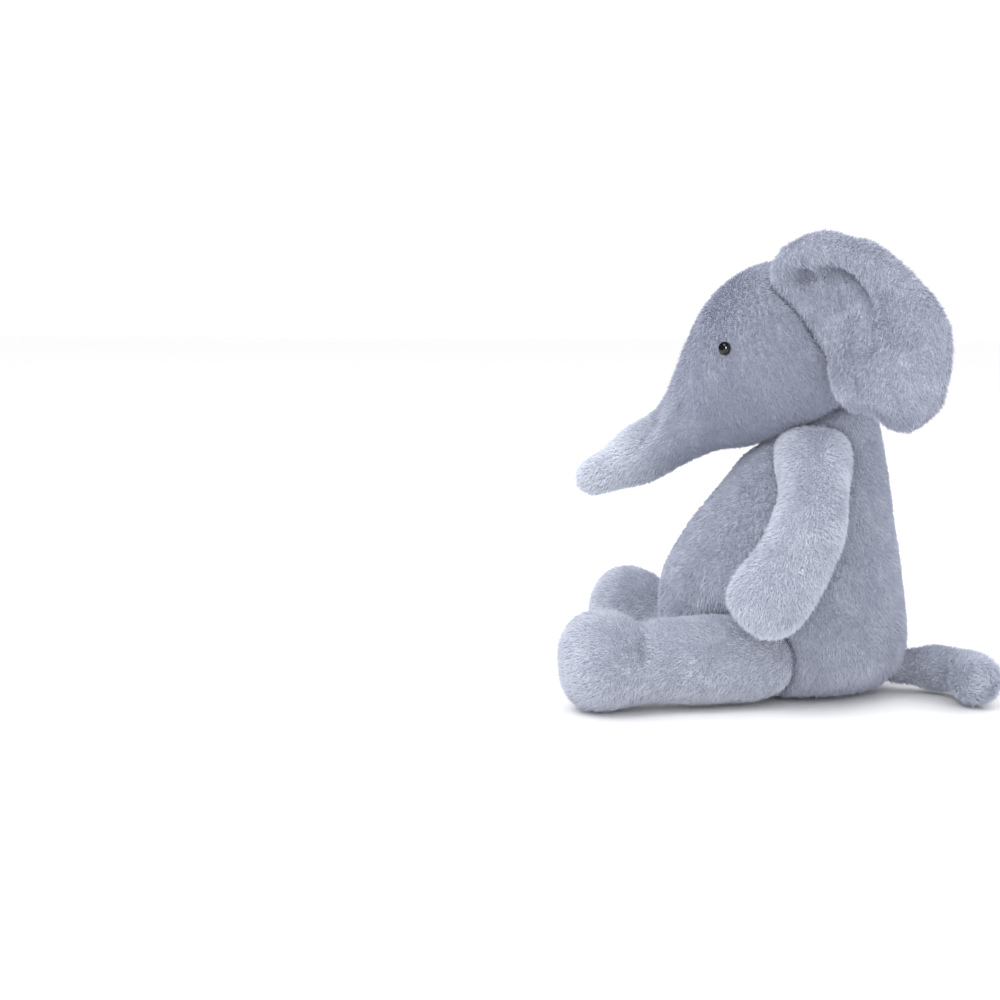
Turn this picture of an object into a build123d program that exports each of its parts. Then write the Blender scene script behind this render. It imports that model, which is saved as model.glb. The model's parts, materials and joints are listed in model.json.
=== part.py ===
from build123d import *
import os

os.makedirs("parts", exist_ok=True)

# A seated plush elephant. Front is -Y, the elephant's own left is +X, up is +Z, millimetres.
# It sits on z = 0, with the origin under the middle of its overall box.

# Sewing dimensions
wall = 2.2              # thickness of the plush cloth, with the base of its pile
slack = 0.2             # room between the cloth and its filling
joint_gap = 0.6         # room at rest between two bodies that are sewn together across a joint
middle_y = 4.0          # the overall box's middle, measured back from the torso's own centre line

# Torso: (height, centre y, half width, half depth) of each level of the pear
torso_levels = (
    (0, 8, 34, 40),
    (5, 6, 44, 51),
    (16, 4, 50.5, 58),
    (38, 2, 53, 59),
    (60, 1, 50, 56.5),
    (84, 6, 41, 48),
    (108, 14, 32.5, 37),
    (128, 19.5, 29, 28),
    (152, 26, 20, 16),
)
collar_top = 147        # the thin collar round the head stops at this height
side_seam_y = 8
seat_seam_z = 9

# Head: a ball that turns in the hollow top of the torso
head_radius = 45
head_centre = (0, 2, 168)

# Trunk, arms, legs and tail: points along the middle, and (half width, half height) at each one.
# The first point is the joint's pivot and the last one is the centre of the rounded end.
trunk_path = ((0, -34, 141), (0, -56, 123.5), (0, -76, 112.5), (0, -91, 105))
trunk_radii = ((21, 21), (18.5, 18), (16.5, 16), (14, 12.5))
arm_path = ((42, 19, 113), (59.5, 14, 84), (68.5, -1, 59.5))
arm_radii = ((15, 16), (15.5, 19), (16, 20.5))
leg_path = ((42, -7, 24), (58, -48, 23), (72, -90, 25.2))
leg_radii = ((21.5, 22), (20.5, 20.5), (23.5, 23.5))
tail_path = ((0, 59, 12), (2, 78, 12.5), (13, 92, 13), (33, 96, 13.2))
tail_radii = ((9.5, 9.5), (10.5, 10.5), (11, 11), (12, 12))
tail_room = 2.5         # room round the tail's root, which lets it wag
round_end = 1.0         # depth of a limb's end over its radius
flat_sole = 0.4
cap_angles = (28, 52, 74)
limb_steps = 4
sole_depth = 3.5        # how far the sole panel reaches back round the foot's edge
leg_seam_z = 24
tail_seam_z = 12.7

# Ears: the flap is the hull of these discs, (distance out from the sewn edge, height, radius)
ear_discs = ((10, 212, 16), (30, 208, 20.5), (49, 181, 40), (56, 161, 27.5), (6, 160, 5))
ear_root = (41, 17, 0)
ear_sweep = 46          # degrees that the flap points back from straight out
ear_thickness = 10.5
ear_edge = 4.6          # rounding of the flap's rim
ear_room = 2.5          # gap between the flap's sewn edge and the head, which lets it swing

# Safety eyes
eye_direction = (36, -26.7, 3)
eye_radius = 3.3
eye_height = 2.7
eye_rounding = 2.4
eye_stem_radius = 1.5
eye_stem_length = 9
washer_radius = 5.5
washer_thickness = 1.4
washer_inset = 4.6      # from the head's outer surface to the washer's middle

# Oval pouch of plastic beads in the seat
pouch_half_width = 16
pouch_half_depth = 33
pouch_height = 20
pouch_centre = (0, 14, 10)
pouch_wall = 0.8
pouch_rounding = 6

# Hollows in the torso's sides for the arms and legs: after the ball, (x, distance from the axis)
arm_hollow = ((39.2, 30), (49.8, 62), (51, 84))
arm_ball_angle = 28
leg_hollow = ((28, 39),)
leg_ball_angle = 15
hollow_outer_x = 95


def at(point):
    """A place measured from the torso's centre line, moved into the object's frame."""
    x, y, z = point
    return Vector(x, y - middle_y, z)


def between(pairs, t):
    """The pair of radii a share t of the way along an evenly spaced list of pairs."""
    last = len(pairs) - 1
    first = min(int(t * last), last - 1)
    share = t * last - first
    return [a + (b - a) * share for a, b in zip(pairs[first], pairs[first + 1])]


def oval(centre, direction, across, half_width, half_height):
    """One oval section of a limb, with its width along the part of across that it can follow."""
    level = across - direction * across.dot(direction)
    with BuildSketch(Plane(origin=centre, x_dir=level, z_dir=direction)) as section:
        Ellipse(half_width, half_height)
    return section.sketch


def limb(path, radii, inset=0, end=round_end, across=Vector(1, 0, 0)):
    """A tapered limb with a ball at its pivot and a rounded end, all drawn in by the inset."""
    points = [at(p) for p in path]
    route = Spline(*points, mode=Mode.PRIVATE)
    turns = [Vector(1, 0, 0).rotate(Axis.Z, angle) for angle in cap_angles]
    sections = []
    width, height = [r - inset for r in radii[0]]
    for turn in reversed(turns):
        centre = points[0] - (route % 0) * ((width + height) / 2 * turn.Y)
        sections.append(oval(centre, route % 0, across, width * turn.X, height * turn.X))
    for step in range(limb_steps + 1):
        t = step / limb_steps
        width, height = [r - inset for r in between(radii, t)]
        sections.append(oval(route @ t, route % t, across, width, height))
    depth = sum(radii[-1]) / 2 * end - inset
    for turn in turns:
        centre = points[-1] + (route % 1) * (depth * turn.Y)
        sections.append(oval(centre, route % 1, across, width * turn.X, height * turn.X))
    with BuildPart() as form:
        loft(sections=sections)
    return form.part


def hollowed(outer, inner):
    """The cloth between two forms."""
    with BuildPart() as cloth:
        add(outer)
        add(inner, mode=Mode.SUBTRACT)
    return cloth.part


def torso_form(inset=0):
    """The pear of the torso, flat underneath, drawn in by the inset."""
    with BuildPart() as form:
        for height, y, half_width, half_depth in torso_levels:
            lift = inset if height == 0 else 0
            with BuildSketch(Plane(origin=at((0, y, height + lift)))):
                Ellipse(half_width - inset, half_depth - inset)
        loft()
        split(bisect_by=Plane.XY.offset(collar_top - inset), keep=Keep.BOTTOM)
    return form.part


def ball(centre, radius):
    """A ball, for the head or a socket."""
    with BuildPart() as form:
        with Locations(at(centre)):
            Sphere(radius)
    return form.part


def side_hollow(pivot, radius, ball_angle, dish):
    """The socket and dish in the torso's flank that a limb swings in, turned about a level axis."""
    x, y, z = pivot
    with BuildPart() as form:
        with BuildSketch(Plane(origin=at((0, y, z)), x_dir=(1, 0, 0), z_dir=(0, -1, 0))):
            with BuildLine():
                socket = CenterArc((x, 0), radius + joint_gap, 180, -ball_angle)
                rim = (hollow_outer_x, dish[-1][1])
                Polyline(socket @ 1, *dish, rim, (hollow_outer_x, 0), socket @ 0)
            make_face()
        revolve(axis=Axis(at((0, y, z)), (1, 0, 0)))
    return form.part


def ear_form(inset=0):
    """A flat flap with a rounded rim, cut away round the head, drawn in by the inset."""
    with BuildPart() as form:
        with BuildSketch(ear_plane):
            with BuildLine() as discs:
                for x, y, radius in ear_discs:
                    CenterArc((x, y), radius - inset, 0, 360)
            make_hull(discs.edges())
        extrude(amount=ear_thickness / 2 - inset, both=True)
        faces = form.faces().sort_by(Axis(ear_plane.origin, ear_plane.z_dir))
        fillet([*faces[0].edges(), *faces[-1].edges()], ear_edge - inset)
        add(ball(head_centre, head_radius + ear_room + inset), mode=Mode.SUBTRACT)
    return form.part


def save(part, name):
    """Name one finished piece and write its file."""
    part.label = name
    export_step(part, f"parts/{name}.step")


def save_pair(part, name):
    """Write a piece of the left side, and its mirror image for the right side."""
    save(part, name.format("left"))
    save(mirror(part, about=Plane.YZ), name.format("right"))


# Torso: belly, back and seat cloth, filling and bead pouch
head_socket = ball(head_centre, head_radius + joint_gap)
tail_socket = ball(tail_path[0], tail_radii[0][0] + tail_room)
arm_socket = side_hollow(arm_path[0], max(arm_radii[0]), arm_ball_angle, arm_hollow)
leg_socket = side_hollow(leg_path[0], max(leg_radii[0]), leg_ball_angle, leg_hollow)
sockets = [head_socket, tail_socket, arm_socket, leg_socket]
sockets += [mirror(arm_socket, about=Plane.YZ), mirror(leg_socket, about=Plane.YZ)]

with BuildPart() as torso_cloth:
    add(torso_form())
    add(torso_form(wall), mode=Mode.SUBTRACT)
    add(sockets, mode=Mode.SUBTRACT)

side_seam = Plane.XZ.offset(middle_y - side_seam_y)
seat_seam = Plane.XY.offset(seat_seam_z)
with BuildPart() as torso_seat_panel:
    add(torso_cloth.part)
    split(bisect_by=seat_seam, keep=Keep.BOTTOM)
save(torso_seat_panel.part, "torso_seat_panel")

for name, keep in (("torso_belly_panel", Keep.TOP), ("torso_back_panel", Keep.BOTTOM)):
    with BuildPart() as panel:
        add(torso_cloth.part)
        split(bisect_by=seat_seam, keep=Keep.TOP)
        split(bisect_by=side_seam, keep=keep)
    save(panel.part, name)


def pouch_form(inset=0):
    """The flat oval bead pouch, drawn in by the inset."""
    with BuildPart() as form:
        with BuildSketch(Plane(origin=at(pouch_centre)).offset(inset)):
            Ellipse(pouch_half_width - inset, pouch_half_depth - inset)
        extrude(amount=pouch_height - 2 * inset)
        ends = form.faces().filter_by(Axis.Z)
        fillet(ends.edges(), pouch_rounding - inset)
    return form.part


pouch_outer = pouch_form()
bean_filling = pouch_form(pouch_wall)
save(bean_filling, "bean_filling")
save(hollowed(pouch_outer, bean_filling), "bean_pouch")

with BuildPart() as torso_stuffing:
    add(torso_form(wall + slack))
    add(sockets, mode=Mode.SUBTRACT)
    add(pouch_outer, mode=Mode.SUBTRACT)
save(torso_stuffing.part, "torso_stuffing")

# Head: two panels that meet in a seam over the crown, filling, eyes and their washers
trunk_socket = ball(trunk_path[0], max(trunk_radii[0]) + joint_gap)
outward = Vector(*eye_direction).normalized()
eye_plane = Plane(origin=at(head_centre) + outward * head_radius, z_dir=outward)

with BuildPart() as stem_hole:
    with BuildSketch(eye_plane.offset(slack)):
        Circle(eye_stem_radius + slack)
    extrude(amount=-2 * wall)

with BuildPart() as washer_room:
    with BuildSketch(eye_plane):
        Circle(washer_radius + slack)
    extrude(amount=-eye_stem_length - slack)

with BuildPart() as head_panel:
    add(ball(head_centre, head_radius))
    add(ball(head_centre, head_radius - wall), mode=Mode.SUBTRACT)
    add([trunk_socket, stem_hole.part], mode=Mode.SUBTRACT)
    split(bisect_by=Plane.YZ, keep=Keep.TOP)
save_pair(head_panel.part, "head_panel_{}")

with BuildPart() as head_stuffing:
    add(ball(head_centre, head_radius - wall - slack))
    add([trunk_socket, washer_room.part], mode=Mode.SUBTRACT)
    add(mirror(washer_room.part, about=Plane.YZ), mode=Mode.SUBTRACT)
save(head_stuffing.part, "head_stuffing")

with BuildPart() as eye:
    with BuildSketch(eye_plane.offset(slack)):
        Circle(eye_radius)
    extrude(amount=eye_height)
    fillet(eye.edges().sort_by(Axis(eye_plane.origin, eye_plane.z_dir))[-1], eye_rounding)
    with BuildSketch(eye_plane.offset(slack)):
        Circle(eye_stem_radius)
    extrude(amount=-eye_stem_length)
save_pair(eye.part, "eye_{}")

with BuildPart() as eye_washer:
    with BuildSketch(eye_plane.offset(-washer_inset)):
        Circle(washer_radius)
        Circle(eye_stem_radius + slack / 2, mode=Mode.SUBTRACT)
    extrude(amount=washer_thickness / 2, both=True)
save_pair(eye_washer.part, "eye_washer_{}")

# Trunk: upper and lower panels, filling
trunk_cloth = hollowed(limb(trunk_path, trunk_radii), limb(trunk_path, trunk_radii, wall))
trunk_chord = at(trunk_path[-1]) - at(trunk_path[0])
trunk_seam = Plane(origin=at(trunk_path[1]), x_dir=(1, 0, 0), z_dir=Vector(1, 0, 0).cross(trunk_chord))
for name, keep in (("trunk_upper_panel", Keep.BOTTOM), ("trunk_lower_panel", Keep.TOP)):
    with BuildPart() as panel:
        add(trunk_cloth)
        split(bisect_by=trunk_seam, keep=keep)
    save(panel.part, name)
save(limb(trunk_path, trunk_radii, wall + slack), "trunk_stuffing")

# Ears: front and back panels, thin padding
ear_out = Vector(1, 0, 0).rotate(Axis.Z, ear_sweep)
ear_plane = Plane(origin=at(ear_root), x_dir=ear_out, z_dir=ear_out.cross(Vector(0, 0, 1)))
ear_cloth = hollowed(ear_form(), ear_form(wall))
for name, keep in (("ear_{}_front_panel", Keep.TOP), ("ear_{}_back_panel", Keep.BOTTOM)):
    with BuildPart() as panel:
        add(ear_cloth)
        split(bisect_by=ear_plane, keep=keep)
    save_pair(panel.part, name)
save_pair(ear_form(wall + slack), "ear_{}_padding")

# Arms: outer and inner panels, filling
arm_cloth = hollowed(limb(arm_path, arm_radii), limb(arm_path, arm_radii, wall))
arm_chord = at(arm_path[-1]) - at(arm_path[0])
arm_seam = Plane(origin=at(arm_path[1]), x_dir=(0, 1, 0), z_dir=Vector(0, 1, 0).cross(arm_chord))
for name, keep in (("arm_{}_outer_panel", Keep.BOTTOM), ("arm_{}_inner_panel", Keep.TOP)):
    with BuildPart() as panel:
        add(arm_cloth)
        split(bisect_by=arm_seam, keep=keep)
    save_pair(panel.part, name)
save_pair(limb(arm_path, arm_radii, wall + slack), "arm_{}_stuffing")

# Legs: upper and lower panels, sole, filling
leg_cloth = hollowed(
    limb(leg_path, leg_radii, end=flat_sole),
    limb(leg_path, leg_radii, wall, flat_sole),
)
heading = (at(leg_path[-1]) - at(leg_path[-2])).normalized()
sole_reach = leg_radii[-1][0] * flat_sole - sole_depth
sole_seam = Plane(origin=at(leg_path[-1]) + heading * sole_reach, z_dir=heading)
with BuildPart() as leg_sole:
    add(leg_cloth)
    split(bisect_by=sole_seam, keep=Keep.TOP)
save_pair(leg_sole.part, "leg_{}_sole")
for name, keep in (("leg_{}_upper_panel", Keep.TOP), ("leg_{}_lower_panel", Keep.BOTTOM)):
    with BuildPart() as panel:
        add(leg_cloth)
        split(bisect_by=sole_seam, keep=Keep.BOTTOM)
        split(bisect_by=Plane.XY.offset(leg_seam_z), keep=keep)
    save_pair(panel.part, name)
save_pair(limb(leg_path, leg_radii, wall + slack, flat_sole), "leg_{}_stuffing")

# Tail: upper and lower panels, filling
upright = Vector(0, 0, 1)
tail_cloth = hollowed(
    limb(tail_path, tail_radii, across=upright),
    limb(tail_path, tail_radii, wall, across=upright),
)
for name, keep in (("tail_upper_panel", Keep.TOP), ("tail_lower_panel", Keep.BOTTOM)):
    with BuildPart() as panel:
        add(tail_cloth)
        split(bisect_by=Plane.XY.offset(tail_seam_z), keep=keep)
    save(panel.part, name)
save(limb(tail_path, tail_radii, wall + slack, across=upright), "tail_stuffing")
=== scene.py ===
import json
import math
import bpy
import bmesh
from mathutils import Matrix, Vector, geometry
from mathutils.bvhtree import BVHTree


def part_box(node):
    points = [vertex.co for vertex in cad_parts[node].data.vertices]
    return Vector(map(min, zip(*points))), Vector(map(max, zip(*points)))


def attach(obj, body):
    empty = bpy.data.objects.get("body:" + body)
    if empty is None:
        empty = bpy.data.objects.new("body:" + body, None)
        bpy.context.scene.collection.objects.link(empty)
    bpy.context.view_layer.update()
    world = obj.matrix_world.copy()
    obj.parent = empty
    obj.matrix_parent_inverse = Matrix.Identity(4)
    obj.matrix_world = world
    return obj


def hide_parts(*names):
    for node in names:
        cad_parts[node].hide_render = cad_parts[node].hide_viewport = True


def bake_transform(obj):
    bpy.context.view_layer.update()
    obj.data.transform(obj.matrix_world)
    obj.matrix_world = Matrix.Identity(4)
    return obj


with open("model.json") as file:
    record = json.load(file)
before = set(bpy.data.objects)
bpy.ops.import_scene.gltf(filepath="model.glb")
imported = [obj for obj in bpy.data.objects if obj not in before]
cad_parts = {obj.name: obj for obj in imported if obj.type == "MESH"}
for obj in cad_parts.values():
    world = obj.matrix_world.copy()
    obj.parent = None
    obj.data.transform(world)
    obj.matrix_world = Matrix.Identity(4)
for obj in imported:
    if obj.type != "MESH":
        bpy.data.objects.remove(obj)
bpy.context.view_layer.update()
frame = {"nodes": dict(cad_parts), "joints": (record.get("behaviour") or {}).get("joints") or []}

mm = 0.001      # in metres
joints = {joint["name"]: joint for joint in frame["joints"]}
sides = (("Left", 1), ("Right", -1))


def jointPlace(name):
    return Vector(joints[name]["pos_m"])


def nodeMiddle(name):
    low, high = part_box(name)
    return (low + high) / 2


# ---- camera and studio
viewpoint = {
    "distance": 0.92,
    "azimuth": 90.5,        # degrees, 90 looks straight at the elephant's left side
    "eyeHeight": 0.2011,
    "lens": 66.0,
    "aim": (0.0, -0.1438, 0.0918),
}
studio = {
    "floorHalf": 6.0,
    "floorColour": (0.95, 0.95, 0.955, 1),
    "worldColour": (1.0, 1.0, 1.0, 1),
    "worldStrength": 1.08,
    # name, place, height aimed at, size, power
    "lamps": (
        ("keyLamp", (0.9, -0.9, 1.6), 0.10, 1.0, 15.0),
        ("fillLamp", (1.4, 0.8, 0.7), 0.12, 1.6, 3.0),
        ("backLamp", (-1.1, 0.8, 1.3), 0.12, 1.4, 8.0),
    ),
    # seen only in gloss: the spark in the eyes
    "spark": ("sparkLamp", (1.05, -0.08, 0.45), 0.17, 0.40, 16.0),
}


def setCamera():
    turn = math.radians(viewpoint["azimuth"])
    place = Vector((math.sin(turn), -math.cos(turn), 0)) * viewpoint["distance"]
    place.z = viewpoint["eyeHeight"]
    camera = bpy.data.objects.new("camera", bpy.data.cameras.new("camera"))
    bpy.context.collection.objects.link(camera)
    camera.data.lens = viewpoint["lens"]
    camera.data.clip_start = 0.01
    camera.location = place
    aim = Vector(viewpoint["aim"]) - place
    camera.rotation_euler = aim.to_track_quat("-Z", "Y").to_euler()
    bpy.context.scene.camera = camera


def addLamp(name, place, height, size, power):
    lamp = bpy.data.objects.new(name, bpy.data.lights.new(name, "AREA"))
    bpy.context.collection.objects.link(lamp)
    lamp.data.size = size
    lamp.data.energy = power
    lamp.location = place
    aim = Vector((0, 0, height)) - Vector(place)
    lamp.rotation_euler = aim.to_track_quat("-Z", "Y").to_euler()
    return lamp


def setStudio():
    bm = bmesh.new()
    bmesh.ops.create_grid(bm, x_segments=1, y_segments=1, size=studio["floorHalf"])
    floor = newObject("floor", bm)
    material, shader = plainShader("paleFloor", studio["floorColour"], 0.9)
    shader.inputs["Specular IOR Level"].default_value = 0.1
    floor.data.materials.append(material)
    world = bpy.data.worlds.new("studioWorld")
    world.use_nodes = True
    background = world.node_tree.nodes["Background"]
    background.inputs["Color"].default_value = studio["worldColour"]
    background.inputs["Strength"].default_value = studio["worldStrength"]
    bpy.context.scene.world = world
    world.cycles_visibility.glossy = False      # the eyes mirror the lamps alone
    bpy.context.scene.view_settings.view_transform = "Standard"
    for lamp in studio["lamps"]:
        addLamp(*lamp)
    addLamp(*studio["spark"]).visible_diffuse = False


# ---- materials
fibreLook = {
    "dark": (0.370, 0.395, 0.505),
    "light": (0.830, 0.860, 0.945),
    "tones": 6,
    "sheen": 0.3,
}
clothLook = {
    "dark": (0.22, 0.24, 0.31, 1),
    "light": (0.40, 0.42, 0.51, 1),
    # painted shade: the colour the ground cloth is painted down in creases
    "crease": (0.07, 0.08, 0.12, 1),
    "knitScale": 900.0,     # loops of the knitted ground, per metre
}


def plainShader(name, colour, roughness):
    material = bpy.data.materials.new(name)
    material.use_nodes = True
    shader = material.node_tree.nodes["Principled BSDF"]
    shader.inputs["Base Color"].default_value = colour
    shader.inputs["Roughness"].default_value = roughness
    return material, shader


def makeFibreMaterials():
    made = []
    dark, light = Vector(fibreLook["dark"]), Vector(fibreLook["light"])
    for i in range(fibreLook["tones"]):
        colour = dark.lerp(light, i / (fibreLook["tones"] - 1))
        material, shader = plainShader(f"fibreTone{i + 1}", (*colour, 1), 0.7)
        shader.inputs["Specular IOR Level"].default_value = 0.3
        shader.inputs["Sheen Weight"].default_value = fibreLook["sheen"]
        shader.inputs["Sheen Roughness"].default_value = 0.35
        made.append(material)
    return made


def noiseRamp(material, shader, scale, dark, light, bump=0.0):
    nodes, links = material.node_tree.nodes, material.node_tree.links
    coordinates = nodes.new("ShaderNodeTexCoord")
    cloud = nodes.new("ShaderNodeTexNoise")
    cloud.inputs["Scale"].default_value = scale
    cloud.inputs["Detail"].default_value = 4.0
    ramp = nodes.new("ShaderNodeValToRGB")
    ramp.color_ramp.elements[0].position = 0.3
    ramp.color_ramp.elements[1].position = 0.7
    ramp.color_ramp.elements[0].color = dark
    ramp.color_ramp.elements[1].color = light
    links.new(coordinates.outputs["Object"], cloud.inputs["Vector"])
    links.new(cloud.outputs["Fac"], ramp.inputs["Fac"])
    links.new(ramp.outputs["Color"], shader.inputs["Base Color"])
    if bump:
        raised = nodes.new("ShaderNodeBump")
        raised.inputs["Distance"].default_value = bump
        links.new(cloud.outputs["Fac"], raised.inputs["Height"])
        links.new(raised.outputs["Normal"], shader.inputs["Normal"])


def makeClothMaterial():
    material, shader = plainShader("plushGround", clothLook["light"], 0.95)
    shader.inputs["Sheen Weight"].default_value = 0.2
    noiseRamp(material, shader, clothLook["knitScale"], clothLook["dark"], clothLook["light"], 0.0004)
    nodes, links = material.node_tree.nodes, material.node_tree.links
    knit = shader.inputs["Base Color"].links[0].from_socket
    # painted shade: the knit colour is mixed towards the dark crease colour where the pile parts in a
    # crease
    crease = nodes.new("ShaderNodeAttribute")
    crease.attribute_name = "crease"
    deepen = nodes.new("ShaderNodeMix")
    deepen.data_type = "RGBA"
    deepen.inputs[7].default_value = clothLook["crease"]
    # a colour mix has its factor in socket 0, its colours in 6 and 7, its result in 2
    links.new(crease.outputs["Fac"], deepen.inputs[0])
    links.new(knit, deepen.inputs[6])
    links.new(deepen.outputs[2], shader.inputs["Base Color"])
    return material


# ---- working on meshes
def newObject(name, bm):
    mesh = bpy.data.meshes.new(name)
    bm.to_mesh(mesh)
    bm.free()
    made = bpy.data.objects.new(name, mesh)
    bpy.context.collection.objects.link(made)
    mesh.shade_smooth()
    return made


def addNode(bm, node, grown):
    # a merged copy of a CAD node's mesh, grown from the filling out to the cloth
    copy = bmesh.new()
    copy.from_mesh(frame["nodes"][node].data)
    bmesh.ops.remove_doubles(copy, verts=copy.verts, dist=0.02 * mm)
    copy.normal_update()
    pushes = [vertex.normal * grown for vertex in copy.verts]
    for vertex, push in zip(copy.verts, pushes):
        vertex.co += push
    carrier = bpy.data.meshes.new("carrier")
    copy.to_mesh(carrier)
    copy.free()
    bm.from_mesh(carrier)
    bpy.data.meshes.remove(carrier)


def addBall(bm, place, radius):
    bmesh.ops.create_icosphere(bm, subdivisions=4, radius=radius, matrix=Matrix.Translation(place))


def addTaper(bm, start, end, startRadius, endRadius):
    # a capped cone between two balls, with its wall touching both
    along = end - start
    lean = (startRadius - endRadius) / along.length
    across = math.sqrt(1 - lean * lean)
    direction = along.normalized()
    first = start + direction * startRadius * lean
    last = end + direction * endRadius * lean
    turn = direction.to_track_quat("Z", "Y").to_matrix().to_4x4()
    bmesh.ops.create_cone(
        bm, cap_ends=True, cap_tris=False, segments=48,
        radius1=startRadius * across, radius2=endRadius * across, depth=(last - first).length,
        matrix=Matrix.Translation((first + last) / 2) @ turn)


def addChain(bm, points):
    # balls joined by tapers: points are (place, radius)
    for place, radius in points:
        addBall(bm, place, radius)
    for (start, startRadius), (end, endRadius) in zip(points, points[1:]):
        addTaper(bm, start, end, startRadius, endRadius)


def finishModifiers(piece):
    graph = bpy.context.evaluated_depsgraph_get()
    finished = bpy.data.meshes.new_from_object(piece.evaluated_get(graph))
    piece.modifiers.clear()
    old = piece.data
    piece.data = finished
    bpy.data.meshes.remove(old)
    finished.name = piece.name


def remesh(piece, voxel):
    modifier = piece.modifiers.new("remesh", "REMESH")
    modifier.mode = "VOXEL"
    modifier.voxel_size = voxel
    modifier.use_smooth_shade = True
    finishModifiers(piece)


def subdivide(piece):
    modifier = piece.modifiers.new("subdivide", "SUBSURF")
    modifier.levels = 1
    modifier.render_levels = 1
    finishModifiers(piece)


def grow(piece, amount):
    normals = [vertex.normal.copy() for vertex in piece.data.vertices]
    for vertex, normal in zip(piece.data.vertices, normals):
        vertex.co += normal * amount
    piece.data.update()


def relax(piece, rounds):
    # evens the surface and puts back the volume that this takes away
    bm = bmesh.new()
    bm.from_mesh(piece.data)
    before = bm.calc_volume()
    for _ in range(rounds):
        bmesh.ops.smooth_vert(
            bm, verts=bm.verts, factor=0.5, use_axis_x=True, use_axis_y=True, use_axis_z=True)
    lost = (before - bm.calc_volume()) / sum(face.calc_area() for face in bm.faces)
    bm.to_mesh(piece.data)
    bm.free()
    grow(piece, lost)


def lineGap(point, line):
    # distance from a point to a line of straight runs
    gap = 1.0
    for start, end in zip(line, line[1:]):
        place, share = geometry.intersect_point_line(point, start, end)
        place = start if share < 0 else end if share > 1 else place
        gap = min(gap, (point - place).length)
    return gap


puff = {
    "voxel": 0.0035,
    "shrink": 0.0012,       # the pad swells, so it starts smaller
    "pressure": 4.0,
    "pressureScale": 7000.0,        # left at 1, a toy this small doesn't swell
    "leastHold": 0.02,
    "frames": 20,
    "cap": 0.0032,          # no point moves further than this
}


def puffUp(piece, pinOf):
    # blows the cloth up like a filled cover, held where it is sewn
    rest = [vertex.co.copy() for vertex in piece.data.vertices]
    pins = piece.vertex_groups.new(name="sewn")
    for vertex in piece.data.vertices:
        hold = pinOf(vertex.co, vertex.normal)
        if hold > puff["leastHold"]:
            pins.add([vertex.index], min(1.0, hold), "REPLACE")
    modifier = piece.modifiers.new("cloth", "CLOTH")
    settings = modifier.settings
    settings.use_pressure = True
    settings.uniform_pressure_force = puff["pressure"]
    settings.pressure_factor = puff["pressureScale"]
    settings.effector_weights.gravity = 0
    settings.vertex_group_mass = "sewn"
    settings.quality = 5
    modifier.point_cache.frame_start = 1
    modifier.point_cache.frame_end = puff["frames"]
    scene = bpy.context.scene
    for number in range(1, puff["frames"] + 1):
        scene.frame_set(number)
    finishModifiers(piece)
    scene.frame_set(1)
    swell = 0.0
    for vertex, start in zip(piece.data.vertices, rest):
        step = vertex.co - start
        swell += step.dot(vertex.normal) / len(rest)
        if step.length > puff["cap"]:
            vertex.co = start + step.normalized() * puff["cap"]
    print(piece.name, "swelled by", round(swell / mm, 2), "mm")
    piece.vertex_groups.clear()
    piece.data.update()


fullCrease = 0.006      # a crease this deep parts the pile down to the cloth


def carve(piece, creases):
    # presses lines into the cloth: (line, width, depth, way it faces)
    mesh = piece.data
    pressed = []
    pinched = []
    for vertex in mesh.vertices:
        depth = 0.0
        parting = 0.0
        for line, width, deep, way in creases:
            if way is not None and vertex.normal.dot(way) < 0.1:
                continue
            share = math.exp(-(lineGap(vertex.co, line) / width) ** 2)
            depth = max(depth, deep * share)
            parting = max(parting, share ** 1.5 * min(1, deep / fullCrease))
        pressed.append(depth)
        pinched.append(parting)
    normals = [vertex.normal.copy() for vertex in mesh.vertices]
    for vertex, normal, depth in zip(mesh.vertices, normals, pressed):
        vertex.co -= normal * depth
    pinch = mesh.attributes.new("pinch", "FLOAT", "POINT")
    for i, parting in enumerate(pinched):
        pinch.data[i].value = parting
    mesh.update()


underPile = 0.0016      # how far the cloth lies below the tips of its pile
fillingGap = 0.0024     # from the cloth's outside to the filling, in the CAD


# ---- torso
torsoLook = {
    # the sockets for arms and legs are cut out of the panels' box, so it is wider than that
    "widen": 1.09,
    # height, half width, front and back, as shares of the torso's own box
    "levels": (
        (0.000, 0.68, 0.20, 0.90),
        (0.035, 0.87, 0.09, 0.985),
        (0.110, 0.97, 0.02, 1.015),
        (0.260, 1.01, 0.00, 1.01),
        (0.410, 0.96, 0.015, 0.985),
        (0.570, 0.82, 0.13, 0.955),
        (0.735, 0.66, 0.29, 0.925),
        (0.870, 0.58, 0.41, 0.895),
        (1.030, 0.42, 0.55, 0.85),
    ),
    # shares of the ball, pole to pole, that close the seat and the neck
    "seatCap": 0.12,
    "neckCap": 0.08,
    "rings": 56,
    "spokes": 72,
}


def levelAt(levels, share):
    for low, high in zip(levels, levels[1:]):
        if share <= high[0]:
            t = max(0.0, (share - low[0]) / (high[0] - low[0]))
            return [a + (b - a) * t for a, b in zip(low[1:], high[1:])]
    return list(levels[-1][1:])


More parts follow.
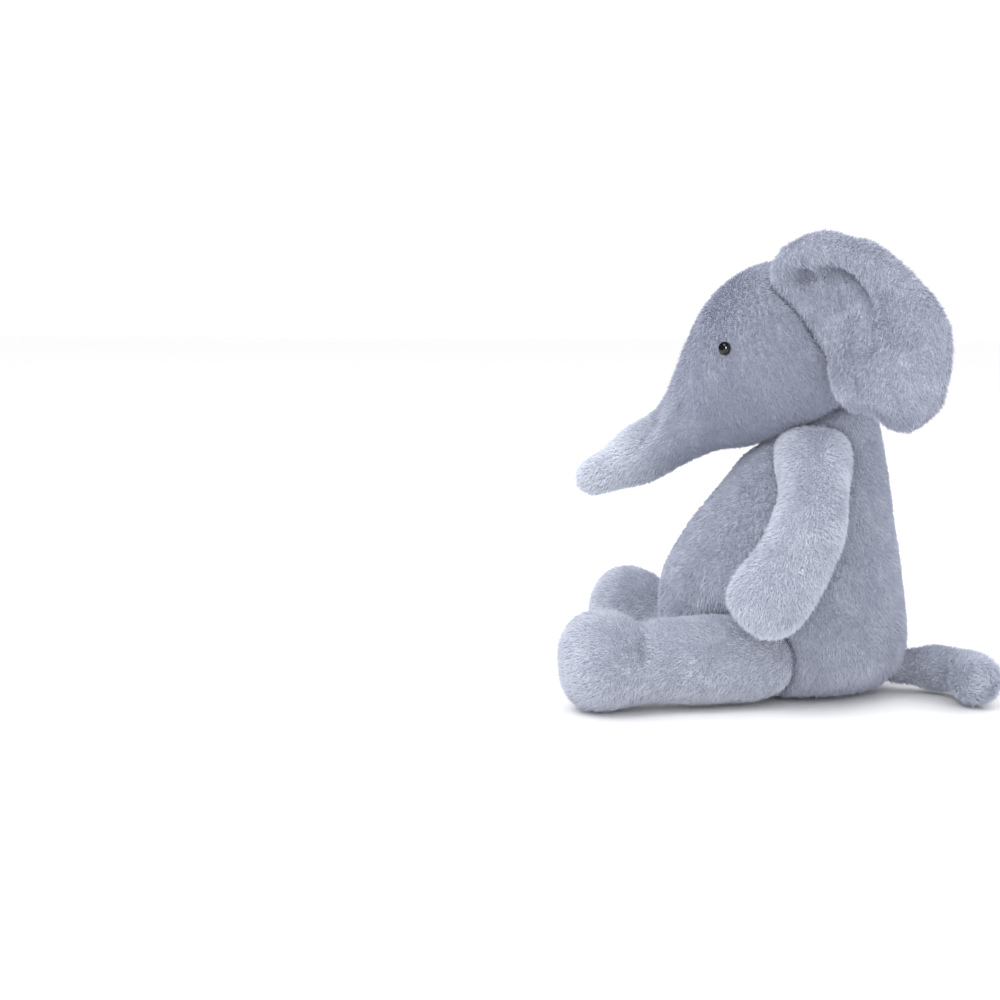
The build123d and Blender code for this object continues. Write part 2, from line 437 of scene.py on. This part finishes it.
def makeTorso():
    corners = [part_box(f"torso_{panel}_panel") for panel in ("belly", "back", "seat")]
    low = Vector([min(corner[0][i] for corner in corners) for i in range(3)])
    high = Vector([max(corner[1][i] for corner in corners) for i in range(3)])
    size = high - low
    levels = torsoLook["levels"]
    seat, neck = torsoLook["seatCap"], torsoLook["neckCap"]
    bm = bmesh.new()
    bmesh.ops.create_uvsphere(
        bm, u_segments=torsoLook["spokes"], v_segments=torsoLook["rings"], radius=1)
    for vertex in bm.verts:
        around = Vector((vertex.co.x, vertex.co.y, 0))
        polar = math.acos(max(-1, min(1, -vertex.co.z))) / math.pi      # 0 at the seat
        reach = 1.0
        share = (polar - seat) / (1 - seat - neck) * levels[-1][0]
        if polar < seat:
            reach = polar / seat
            share = 0
        if polar > 1 - neck:
            reach = (1 - polar) / neck
            share = levels[-1][0]
        width, front, back = levelAt(levels, share)
        direction = around.normalized() if around.length > 1e-6 else around
        vertex.co = Vector((
            direction.x * reach * width * size.x / 2 * torsoLook["widen"],
            low.y + size.y * (front + back) / 2 + direction.y * reach * size.y * (back - front) / 2,
            low.z + share * size.z,
        ))
    return newObject("torsoPlush", bm)


# ---- head and trunk, one cover
headLook = {
    "bridgeRadius": 0.0225,     # of the trunk where it leaves the head
    "bridgeRise": 0.0015,
}


def makeHead():
    low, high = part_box("head_panel_left")
    radius = high.x
    middle = Vector((0, jointPlace("head_turn").y, high.z - radius))
    bm = bmesh.new()
    bridge = jointPlace("trunk_lift") + Vector((0, 0, headLook["bridgeRise"]))
    addChain(bm, ((middle, radius - underPile), (bridge, headLook["bridgeRadius"] - underPile)))
    addNode(bm, "trunk_stuffing", fillingGap - underPile)
    return newObject("headPlush", bm)


# ---- ears
earLook = {
    "sweep": 46.0,          # degrees that the ear is laid back
    "plump": 0.0008,
    "voxel": 0.002,
    "evenRounds": 8,
    "rootInside": 0.004,
    # the root is drawn in towards the head's middle
    "rootBand": 0.054,      # all that is nearer to the middle than this
    "rootOut": 0.012,       # and no further out along the ear than this
    "rootFade": 0.008,
    "rootFrom": 0.046,
    "rootTo": 0.0405,
    # the ear's upper edge folds forward over the head: place, radius
    "lobe": (
        ((0.0285, -0.0035, 0.2075), 0.0078), ((0.039, 0.003, 0.2135), 0.0085),
        ((0.052, 0.016, 0.218), 0.0085)),
    "web": (
        ((0.030, 0.000, 0.201), 0.0085), ((0.038, 0.009, 0.192), 0.008),
        ((0.043, 0.014, 0.180), 0.007)),
    # flat discs that fill the outline, on the ear's own plane: outward, height, radius
    "discThickness": 0.28,  # as a share of the radius
    "fuller": (
        (0.026, 0.156, 0.0205), (0.014, 0.2105, 0.0195), (0.026, 0.2080, 0.0215),
        (0.0530, 0.1605, 0.0300)),
    # the outline is rounder up and out: middle, direction in degrees, spread, depth, outline's radius
    "roundOff": ((0.045, 0.180), 46, 40, 0.0082, 0.042),
    "bowlMiddle": (0.017, 0.181),
    "bowlSize": (0.019, 0.028),
    "bowlDepth": 0.0100,
    # the upper rim rolls forward
    "rollRise": 0.0045,
    "rollHeight": 0.219,
    "rollSpread": 0.011,
    "fold": (
        (-0.008, 0.2055), (0.004, 0.2080), (0.016, 0.2075), (0.026, 0.2030), (0.033, 0.1950),
        (0.038, 0.1850), (0.041, 0.1740)),
    "creaseLift": 0.004,
    "lowerCrease": ((0.030, 0.159), (0.038, 0.150), (0.047, 0.143)),
}


# the left ear's own plane: along it away from the head, and the way its front faces
earTurn = math.radians(earLook["sweep"])
outward = Vector((math.cos(earTurn), math.sin(earTurn), 0))
facing = Vector((math.sin(earTurn), -math.cos(earTurn), 0))


def findEarRoot():
    # where the ear's plane leaves the head, a little inside its hinge
    root = jointPlace("ear_left_flap") - outward * earLook["rootInside"]
    root.z = 0
    return root


earRoot = findEarRoot()


def earPoint(spot, lift=0.0):
    return earRoot + outward * spot[0] + Vector((0, 0, spot[1])) + facing * lift


def earAcross(point):
    return (point - earRoot).dot(outward)


def earBlank():
    bm = bmesh.new()
    addNode(bm, "ear_left_padding", fillingGap - underPile + earLook["plump"])
    for chain in (earLook["lobe"], earLook["web"]):
        addChain(bm, [(Vector(place), radius) for place, radius in chain])
    flat = Matrix((outward, facing, Vector((0, 0, 1)))).transposed().to_4x4()
    squash = Matrix.Diagonal((1, earLook["discThickness"], 1, 1))
    for across, height, radius in earLook["fuller"]:
        disc = Matrix.Translation(earPoint((across, height))) @ flat @ squash
        bmesh.ops.create_icosphere(bm, subdivisions=4, radius=radius, matrix=disc)
    ear = newObject("earLeftPlush", bm)
    remesh(ear, earLook["voxel"])
    relax(ear, earLook["evenRounds"])
    return ear


def drawInRoot(ear):
    middle = jointPlace("head_turn")
    band = earLook["rootBand"]
    pull = earLook["rootFrom"] - earLook["rootTo"]
    for vertex in ear.data.vertices:
        step = vertex.co - middle
        gap = step.length
        if gap < band and earAcross(vertex.co) < earLook["rootOut"]:
            near = max(0.0, (band - gap) / earLook["rootFade"])
            vertex.co = middle + step * (gap - near * pull) / gap


def roundOutline(ear):
    (overW, overZ), direction, spread, depth, outline = earLook["roundOff"]
    for vertex in ear.data.vertices:
        w = earAcross(vertex.co) - overW
        z = vertex.co.z - overZ
        reach = math.hypot(w, z)
        turned = math.degrees(math.atan2(z, w)) - direction
        inward = depth * math.exp(-(turned / spread) ** 2) * min(1.3, reach / outline)
        vertex.co -= (outward * w + Vector((0, 0, z))) / max(reach, 0.001) * inward


def hollowBowl(ear):
    # the front dips into a bowl, and the upper rim rolls over it
    wide, tall = earLook["bowlSize"]
    across, height = earLook["bowlMiddle"]
    rollHeight, rollSpread = earLook["rollHeight"], earLook["rollSpread"]
    for vertex in ear.data.vertices:
        w = earAcross(vertex.co)
        z = vertex.co.z
        bowl = math.exp(-((w - across) / wide) ** 2 - ((z - height) / tall) ** 2)
        front = 0.5 + 0.5 * max(-1, min(1, vertex.normal.dot(facing) * 1.5))     # 0 behind, 1 in front
        vertex.co -= facing * earLook["bowlDepth"] * bowl * (0.7 + 0.3 * front)
        roll = math.exp(-((z - rollHeight) / rollSpread) ** 2) * max(0, min(1, (w + 0.02) / 0.02))
        vertex.co += facing * earLook["rollRise"] * roll * front


def makeEar():
    ear = earBlank()
    drawInRoot(ear)
    roundOutline(ear)
    hollowBowl(ear)
    ear.data.update()
    return ear


# ---- arms, legs and tail
def makeLimb(name, node):
    bm = bmesh.new()
    addNode(bm, node, fillingGap - underPile)
    return newObject(name, bm)


armLook = {
    "reach": 1.07,
    # the shoulder runs up to the neck: place, radius
    "shoulder": (
        ((0.0265, 0.0065, 0.1215), 0.0125), ((0.0405, 0.014, 0.111), 0.0165),
        ((0.0265, 0.0205, 0.1210), 0.0125)),
}


def makeArm():
    bm = bmesh.new()
    addNode(bm, "arm_left_stuffing", fillingGap - underPile)
    addChain(bm, [(Vector(place), radius) for place, radius in armLook["shoulder"]])
    arm = newObject("armLeftPlush", bm)
    shoulder = jointPlace("arm_left_swing")
    for vertex in arm.data.vertices:
        step = vertex.co - shoulder
        if step.z < 0:
            vertex.co = shoulder + step * armLook["reach"]
    return arm


def makeLeg():
    return makeLimb("legLeftPlush", "leg_left_stuffing")


def makeTail():
    return makeLimb("tailPlush", "tail_stuffing")


# ---- where each cover is held while it swells: 0 is free, 1 is held
sewn = {
    "seamWidth": 0.003,     # of the head's centre seam
    "limbSeam": 0.15,       # how far the cloth may turn from a limb's seam
    "torsoSeam": 0.1,
    "earRim": 0.25,
    "rimHold": 0.8,
    "earRoot": 0.002,
    "seatHeight": 0.004,
}


def nearPlane(gap, width):
    return max(0.0, 1 - abs(gap) / width)


def noPins(point, normal):
    return 0.0


def headPins(point, normal):
    return nearPlane(point.x, sewn["seamWidth"])


def earPins(point, normal):
    rim = nearPlane(normal.dot(facing), sewn["earRim"]) * sewn["rimHold"]
    return max(rim, 1.0 if earAcross(point) < sewn["earRoot"] else 0.0)


def armPins(point, normal):
    return nearPlane(normal.x, sewn["limbSeam"])


def legPins(point, normal):
    return nearPlane(normal.z, sewn["limbSeam"])


def torsoPins(point, normal):
    seam = nearPlane(normal.y, sewn["torsoSeam"])
    return max(seam, 1.0 if point.z < sewn["seatHeight"] else 0.0)


# ---- creases: (line, width, depth, way it faces)
def spots(*points):
    # points in millimetres
    return [Vector([value * mm for value in point]) for point in points]


# centre seam over the crown and down the back of the head
crownSeam = spots(
    (0, -30, 206), (0, -18, 211), (0, 0, 214), (0, 20, 208), (0, 36, 195), (0, 43, 175),
    (0, 41, 155), (0, 36, 140))
headCreases = [(crownSeam, 0.0016, 0.0013, None)]
# wrinkles on each side of the trunk's root and under the chin
wrinkles = (
    (((9, -45, 151), (17, -51, 142), (21, -57, 130), (19, -61, 119)), 0.0034, 0.0024),
    (((5, -60, 139), (14, -66, 131), (17, -73, 121)), 0.0030, 0.0020),
    (((20, -33, 128), (21, -40, 122), (19, -46, 114)), 0.0030, 0.0022),
)
for flip in (1, -1):
    for points, width, depth in wrinkles:
        line = spots(*[(x * flip, y, z) for x, y, z in points])
        headCreases.append((line, width, depth, None))

foldLine = [earPoint(spot, earLook["creaseLift"]) for spot in earLook["fold"]]
lowerLine = [earPoint(spot, earLook["creaseLift"]) for spot in earLook["lowerCrease"]]
earCreases = [(foldLine, 0.0040, 0.0066, facing), (lowerLine, 0.0032, 0.0038, facing)]

neckLine = spots((-24, 48, 129), (-10, 52, 127), (8, 52, 127), (24, 48, 130))
torsoCreases = [(neckLine, 0.0030, 0.0014, None)]

ankleLine = spots((45, -66, 33), (52, -67, 41), (63, -66, 45), (75, -63, 40), (82, -60, 30))
legCreases = [(ankleLine, 0.0045, 0.0022, None)]

# ---- covers: shape, how far it is drawn in, pins, creases
plans = {
    "torsoPlush": (makeTorso, underPile, torsoPins, torsoCreases),
    "headPlush": (makeHead, 0.0007, headPins, headCreases),
    "earLeftPlush": (makeEar, 0.0, earPins, earCreases),
    "armLeftPlush": (makeArm, 0.0, armPins, []),
    "legLeftPlush": (makeLeg, 0.0, legPins, legCreases),
    "tailPlush": (makeTail, -0.0014, noPins, []),
}
evenRounds = 4


def makeCover(name):
    maker, inset, pinOf, creases = plans[name]
    piece = maker()
    remesh(piece, puff["voxel"])
    relax(piece, evenRounds)
    grow(piece, -inset)
    grow(piece, -puff["shrink"])
    puffUp(piece, pinOf)
    relax(piece, 1)
    subdivide(piece)
    carve(piece, creases)
    print(name, len(piece.data.vertices))
    return piece


def mirrorPiece(piece, name):
    bm = bmesh.new()
    bm.from_mesh(piece.data)
    bmesh.ops.scale(bm, vec=(-1, 1, 1), verts=bm.verts)
    bmesh.ops.recalc_face_normals(bm, faces=bm.faces)
    return newObject(name, bm)


tuck = {
    "reach": 0.0075,        # how far from a seam the cloth starts to dip
    "depth": 0.0034,
}


def treeOf(piece):
    bm = bmesh.new()
    bm.from_mesh(piece.data)
    tree = BVHTree.FromBMesh(bm)
    bm.free()
    return tree


def tuckUnder(piece, neighbours):
    # the cloth dips where another part is sewn on to it
    found = [treeOf(neighbour) for neighbour in neighbours]
    moves = []
    for vertex in piece.data.vertices:
        gap = min(tree.find_nearest(vertex.co)[3] for tree in found)
        share = max(0.0, 1 - gap / tuck["reach"])
        moves.append(vertex.normal * (tuck["depth"] * share * share))
    for vertex, move in zip(piece.data.vertices, moves):
        vertex.co -= move
    piece.data.update()


# ---- pile: short fibres standing on each cover
pile = {
    "fibreLength": 0.0027,
    "fibreRadius": 0.00017,
    "tuftScale": 400.0,     # tufts per metre
    "tuftPull": 270.0,
    "swirlScale": 60.0,
    "patchScale": 90.0,
    "swirl": 1.5,
    "stray": 0.30,
    "lean": 0.9,
    "crowdGap": 0.004,      # nearer to another cover than this, the pile gets shorter
    "hiddenDepth": 0.0035,  # deeper inside another cover than this, there is none
    # how much shorter and thinner the pile is down in a crease, and how much painted shade darkens it there
    "creaseCut": 0.5,
    "creaseThin": 0.65,
    "paintedCreaseDarkening": 0.45,
    "toneSpread": 0.34,     # between one fibre and the next
    "patchSpread": 0.55,    # between one patch and the next
}


class NodeMaker:
    def __init__(self, tree, seed):
        self.tree = tree
        self.seed = seed

    def add(self, kind, inputs=None, **values):
        node = self.tree.nodes.new(kind)
        for key, value in values.items():
            setattr(node, key, value)
        for key, value in (inputs or {}).items():
            if isinstance(value, bpy.types.NodeSocket):
                self.tree.links.new(value, node.inputs[key])
            else:
                node.inputs[key].default_value = value
        return node

    def maths(self, operation, a, b):
        return self.add("ShaderNodeMath", {0: a, 1: b}, operation=operation).outputs[0]

    def plus(self, a, b):
        return self.add("ShaderNodeVectorMath", {0: a, 1: b}, operation="ADD").outputs[0]

    def minus(self, a, b):
        return self.add("ShaderNodeVectorMath", {0: a, 1: b}, operation="SUBTRACT").outputs[0]

    def times(self, a, amount):
        node = self.add("ShaderNodeVectorMath", {0: a, "Scale": amount}, operation="SCALE")
        return node.outputs[0]

    def chance(self, low, high, offset):
        node = self.add(
            "FunctionNodeRandomValue", {2: low, 3: high, "Seed": self.seed + offset}, data_type="FLOAT")
        return node.outputs[1]

    def attribute(self, word, kind="FLOAT"):
        return self.add("GeometryNodeInputNamedAttribute", {"Name": word}, data_type=kind).outputs[0]


def pileNodes(name, density, layer, seed):
    tree = bpy.data.node_groups.new(name, "GeometryNodeTree")
    tree.interface.new_socket("Geometry", in_out="INPUT", socket_type="NodeSocketGeometry")
    tree.interface.new_socket("Geometry", in_out="OUTPUT", socket_type="NodeSocketGeometry")
    make = NodeMaker(tree, seed)
    source = make.add("NodeGroupInput")
    thick = make.maths("MULTIPLY", make.attribute("cover"), density)
    scatter = make.add(
        "GeometryNodeDistributePointsOnFaces",
        {"Mesh": source.outputs[0], "Density": thick, "Seed": seed}, distribute_method="RANDOM")
    place = make.attribute("rest", "FLOAT_VECTOR")

    # fibres lean together into tufts, and the tufts swirl slowly over the cloth
    tufts = make.add("ShaderNodeTexVoronoi", {"Vector": place, "Scale": pile["tuftScale"]})
    towards = make.minus(tufts.outputs["Position"], place)
    swirl = make.add(
        "ShaderNodeTexNoise", {"Vector": place, "Scale": pile["swirlScale"], "Detail": 2.0})
    swirled = make.minus(swirl.outputs["Color"], (0.5, 0.5, 0.5))
    stray = make.add(
        "FunctionNodeRandomValue",
        {0: (-pile["stray"],) * 3, 1: (pile["stray"],) * 3, "Seed": seed + 1}, data_type="FLOAT_VECTOR")
    aim = make.times(scatter.outputs["Normal"], layer["lift"])
    aim = make.plus(aim, make.times(make.attribute("nap", "FLOAT_VECTOR"), pile["lean"]))
    aim = make.plus(aim, make.times(swirled, pile["swirl"]))
    aim = make.plus(aim, make.times(towards, pile["tuftPull"]))
    aim = make.plus(aim, stray.outputs[0])
    turned = make.add("FunctionNodeAlignRotationToVector", {"Vector": aim}, axis="Z")

    fibre = make.add("GeometryNodeMeshCone", {
        "Vertices": 3, "Side Segments": 1, "Fill Segments": 1, "Radius Top": 0.0,
        "Radius Bottom": pile["fibreRadius"], "Depth": pile["fibreLength"]}, fill_type="NGON")
    size = make.maths("MULTIPLY", make.chance(*layer["sizes"], 2), make.attribute("pileLength"))
    scale = make.add("ShaderNodeCombineXYZ", {0: 1.0, 1: 1.0, 2: size})
    stand = make.add("GeometryNodeInstanceOnPoints", {
        "Points": scatter.outputs["Points"], "Instance": fibre.outputs["Mesh"],
        "Rotation": turned.outputs[0], "Scale": scale.outputs[0]})

    # lighter and darker patches, mixed fibre by fibre
    patch = make.add(
        "ShaderNodeTexNoise", {"Vector": place, "Scale": pile["patchScale"], "Detail": 3.0})
    clouds = make.maths("MULTIPLY", make.maths("SUBTRACT", patch.outputs[0], 0.5), pile["patchSpread"])
    half = pile["toneSpread"] / 2
    tone = make.maths("ADD", make.chance(layer["tone"] - half, layer["tone"] + half, 3), clouds)
    # painted light and shade: each part's painted paleness and the painted crease shade shift the fibre
    # tone
    tone = make.maths("ADD", tone, make.attribute("shade"))
    keep = make.add(
        "GeometryNodeStoreNamedAttribute",
        {"Geometry": stand.outputs[0], "Name": "tone", "Value": tone}, data_type="FLOAT", domain="INSTANCE")
    real = make.add("GeometryNodeRealizeInstances", {"Geometry": keep.outputs[0]})
    flow = real.outputs[0]
    for i, material in enumerate(fibreMaterials):
        limit = i / len(fibreMaterials) if i else -9.0      # the darkest goes on all of them first
        chosen = make.maths("GREATER_THAN", make.attribute("tone"), limit)
        paint = make.add("GeometryNodeSetMaterial", {
            "Geometry": flow, "Selection": chosen, "Material": material})
        flow = paint.outputs[0]
    make.add("NodeGroupOutput", {0: flow})
    return tree


layers = {
    "UnderPile": {"lift": 1.0, "sizes": (0.5, 0.85), "tone": -0.16},
    "TopPile": {"lift": 0.8, "sizes": (0.75, 1.15), "tone": 0.0},
}


def alongCloth(direction, normal):
    flat = direction - normal * direction.dot(normal)
    return flat.normalized() if flat.length > 1e-4 else flat


skyward = Vector((0.13, 0.21, 0.97)).normalized()      # a little off straight up, to miss seams
mostWalls = 9


def isInside(point, tree):
    # an odd number of walls between the point and the sky
    walls = 0
    start = point
    for _ in range(mostWalls):
        place, normal, index, gap = tree.ray_cast(start, skyward)
        if place is None:
            break
        walls += 1
        start = place + skyward * 0.00001
    return walls % 2 == 1


combWords = {
    "nap": "FLOAT_VECTOR",      # the way the pile lies
    "rest": "FLOAT_VECTOR",     # the point's place before any pose
    "cover": "FLOAT",           # how dense the pile is
    "pileLength": "FLOAT",
    "shade": "FLOAT",           # painted light and shade: how pale the pile is painted, from 0 to 1
    "crease": "FLOAT",
}


def crowding(point, others):
    # how much room the pile has to stand, and whether another cover hides it
    crowd = 1.0
    for tree in others:
        place, normal, index, gap = tree.find_nearest(point, 0.05)
        if place is None:
            continue
        crowd = min(crowd, gap / pile["crowdGap"])
        if gap > pile["hiddenDepth"] and isInside(point, tree):
            return crowd, True
    return crowd, False


def combPile(piece, napOf, lengthOf, paintedLightOf, others, gaps):
    mesh = piece.data
    for word, kind in combWords.items():
        mesh.attributes.new(word, kind, "POINT")
    made = {word: mesh.attributes[word].data for word in combWords}
    pinch = mesh.attributes["pinch"].data
    for i, vertex in enumerate(mesh.vertices):
        crowd, hidden = crowding(vertex.co, others)
        hidden = hidden or any((vertex.co - place).length < radius for place, radius in gaps)
        shorter = 1 - pile["creaseCut"] * pinch[i].value
        shorter = min(shorter, 1 - pile["creaseCut"] * (1 - crowd))
        parted = (1 - shorter) / pile["creaseCut"]      # 1 in the middle of a crease
        made["nap"][i].vector = alongCloth(napOf(vertex.co), vertex.normal)
        made["rest"][i].vector = vertex.co
        made["pileLength"][i].value = lengthOf(vertex.co) * shorter
        made["cover"][i].value = 0.0 if hidden else 1 - pile["creaseThin"] * parted
        # painted light and shade: the part's painted paleness, less painted shade down in a crease
        made["shade"][i].value = paintedLightOf(vertex.co) - pile["paintedCreaseDarkening"] * parted * parted
        # painted shade mask: how far the ground cloth is painted dark in a crease
        made["crease"][i].value = parted * parted


trunkRoot = -0.045      # the trunk is in front of this


def headNap(point):
    if point.y < trunkRoot:
        return Vector((0, -0.8, -0.6))
    return Vector((0, 0.5, -0.8))


def earNap(point):
    return Vector((point.x * 8, 0.4, -0.7))


def fade(value, start, width):
    # 0 up to start, then rising to 1 over the width
    return max(0.0, min(1.0, (value - start) / width))


def tailLength(point):
    return 1.0 + 0.6 * fade(point.x, 0.005, 0.03)       # longer towards the tip


def even(point):
    return 1.0


def headPaintedLight(point):
    # painted light: the trunk and the crown are painted paler than the cheeks, where light falls on them
    return 0.08 + 0.80 * fade(-point.y, -trunkRoot, 0.04) + 0.26 * fade(point.z, 0.185, 0.03)


# fibres per square millimetre in each layer, nap, length, and how pale it is painted: painted light and
# shade for how the light falls on each part
piles = {
    "torso": (1.16, lambda p: Vector((0, 0, -1)), even, lambda p: 0.38),
    "head": (1.25, headNap, even, headPaintedLight),
    "ear": (1.22, earNap, even, lambda p: 0.40),
    "arm": (1.25, lambda p: Vector((0, -0.2, -1)), even, lambda p: 0.66),
    "leg": (1.25, lambda p: Vector((0, -1, -0.2)), even, lambda p: 0.66),
    "tail": (1.6, lambda p: Vector((0.9, 0.5, 0)), tailLength, lambda p: 0.72),
}

seedSteps = {"piece": 20, "layer": 5}


def addPile(piece, part, seed):
    made = []
    density = piles[part][0] * 1e6      # from square millimetres to square metres
    for layer, values in layers.items():
        copy = bpy.data.objects.new(piece.name.replace("Plush", layer), piece.data.copy())
        bpy.context.collection.objects.link(copy)
        copy.data.materials.clear()
        for material in fibreMaterials:
            copy.data.materials.append(material)
        modifier = copy.modifiers.new("pile", "NODES")
        modifier.node_group = pileNodes(copy.name, density, values, seed)
        made.append(copy)
        seed += seedSteps["layer"]
    return made


# ---- what each cover stands for, and the bend listed for it, which is not applied
def bendAt(piece, joint, direction, before, after):
    direction = Vector(direction).normalized()
    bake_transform(piece)


wears = {
    "torsoPlush": ["torso_belly_panel", "torso_back_panel", "torso_seat_panel", "torso_stuffing"],
    "headPlush": ["head_panel_left", "head_panel_right", "head_stuffing", "trunk_upper_panel",
                  "trunk_lower_panel", "trunk_stuffing"],
    "tailPlush": ["tail_upper_panel", "tail_lower_panel", "tail_stuffing"],
}
# joint, direction away from it, where the bend starts and ends
bends = {
    "headPlush": ("trunk_lift", (0, -0.78, -0.62), 0.0, 0.022),
    "tailPlush": ("tail_wag", (0, 1, 0), 0.002, 0.022),
}
for side, sign in sides:
    low = side.lower()
    wears[f"ear{side}Plush"] = [f"ear_{low}_{node}" for node in ("front_panel", "back_panel", "padding")]
    wears[f"arm{side}Plush"] = [f"arm_{low}_{node}" for node in ("outer_panel", "inner_panel", "stuffing")]
    wears[f"leg{side}Plush"] = [
        f"leg_{low}_{node}" for node in ("upper_panel", "lower_panel", "sole", "stuffing")]
    bends[f"ear{side}Plush"] = (f"ear_{low}_flap", (sign * outward.x, outward.y, 0), 0.0, 0.018)
    bends[f"arm{side}Plush"] = (f"arm_{low}_swing", (sign * 0.51, -0.15, -0.85), -0.004, 0.026)
    bends[f"leg{side}Plush"] = (f"leg_{low}_splay", (sign * 0.36, -0.93, 0), 0.0, 0.028)

# ---- eyes and the parts inside
eyeLook = {
    "colour": (0.008, 0.008, 0.009, 1),
    "roughness": 0.12,
    "gloss": 0.5,
    "dark": (0.004, 0.004, 0.005, 1),
    "light": (0.010, 0.010, 0.011, 1),
    "grain": 400.0,
    "bald": 0.0044,         # no pile nearer to the eye's middle than this
}
# name, dark, light, grain
innerLooks = {
    "bean_pouch": ("pouchCloth", (0.66, 0.66, 0.63, 1), (0.80, 0.80, 0.77, 1), 700.0),
    "bean_filling": ("beadPlastic", (0.72, 0.72, 0.69, 1), (0.86, 0.86, 0.84, 1), 300.0),
    "eye_washer_left": ("washerPlastic", (0.62, 0.62, 0.62, 1), (0.74, 0.74, 0.74, 1), 200.0),
    "eye_washer_right": ("washerPlastic", (0.62, 0.62, 0.62, 1), (0.74, 0.74, 0.74, 1), 200.0),
}


def makeEyeMaterial():
    material, shader = plainShader("glossyEye", eyeLook["colour"], eyeLook["roughness"])
    shader.inputs["Specular IOR Level"].default_value = eyeLook["gloss"]
    noiseRamp(material, shader, eyeLook["grain"], eyeLook["dark"], eyeLook["light"])
    return material


def makeInnerMaterial(name, dark, light, grain):
    material, shader = plainShader(name, light, 0.6)
    noiseRamp(material, shader, grain, dark, light, 0.0003)
    return material


def dressNode(node, material):
    mesh = frame["nodes"][node].data
    mesh.materials.clear()
    mesh.materials.append(material)


# ---- making it
print("camera and studio")
setCamera()
setStudio()
fibreMaterials = makeFibreMaterials()
clothMaterial = makeClothMaterial()

print("covers")
shapes = {name: makeCover(name) for name in plans}
for part in ("ear", "arm", "leg"):
    shapes[part + "RightPlush"] = mirrorPiece(shapes[part + "LeftPlush"], part + "RightPlush")
limbs = [shapes[part + side + "Plush"] for part in ("arm", "leg") for side, sign in sides]
tuckUnder(shapes["torsoPlush"], limbs + [shapes["headPlush"], shapes["tailPlush"]])
tuckUnder(shapes["headPlush"], [shapes["earLeftPlush"], shapes["earRightPlush"], shapes["torsoPlush"]])

print("pile")
trees = {name: treeOf(piece) for name, piece in shapes.items()}
eyeGaps = [(nodeMiddle(eye), eyeLook["bald"]) for eye in ("eye_left", "eye_right")]
for number, (name, piece) in enumerate(shapes.items()):
    part = next(word for word in piles if name.startswith(word))
    others = [trees[other] for other in trees if other != name]
    combPile(piece, *piles[part][1:], others, eyeGaps if part == "head" else [])
    coats = addPile(piece, part, number * seedSteps["piece"] + 1)
    piece.data.materials.clear()
    piece.data.materials.append(clothMaterial)
    for thing in [piece] + coats:
        if name in bends:
            bendAt(thing, *bends[name])
        else:
            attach(thing, "torso")
    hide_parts(*wears[name])

print("eyes and the parts inside")
eyeMaterial = makeEyeMaterial()
for node in ("eye_left", "eye_right"):
    dressNode(node, eyeMaterial)
for node, look in innerLooks.items():
    dressNode(node, bpy.data.materials.get(look[0]) or makeInnerMaterial(*look))
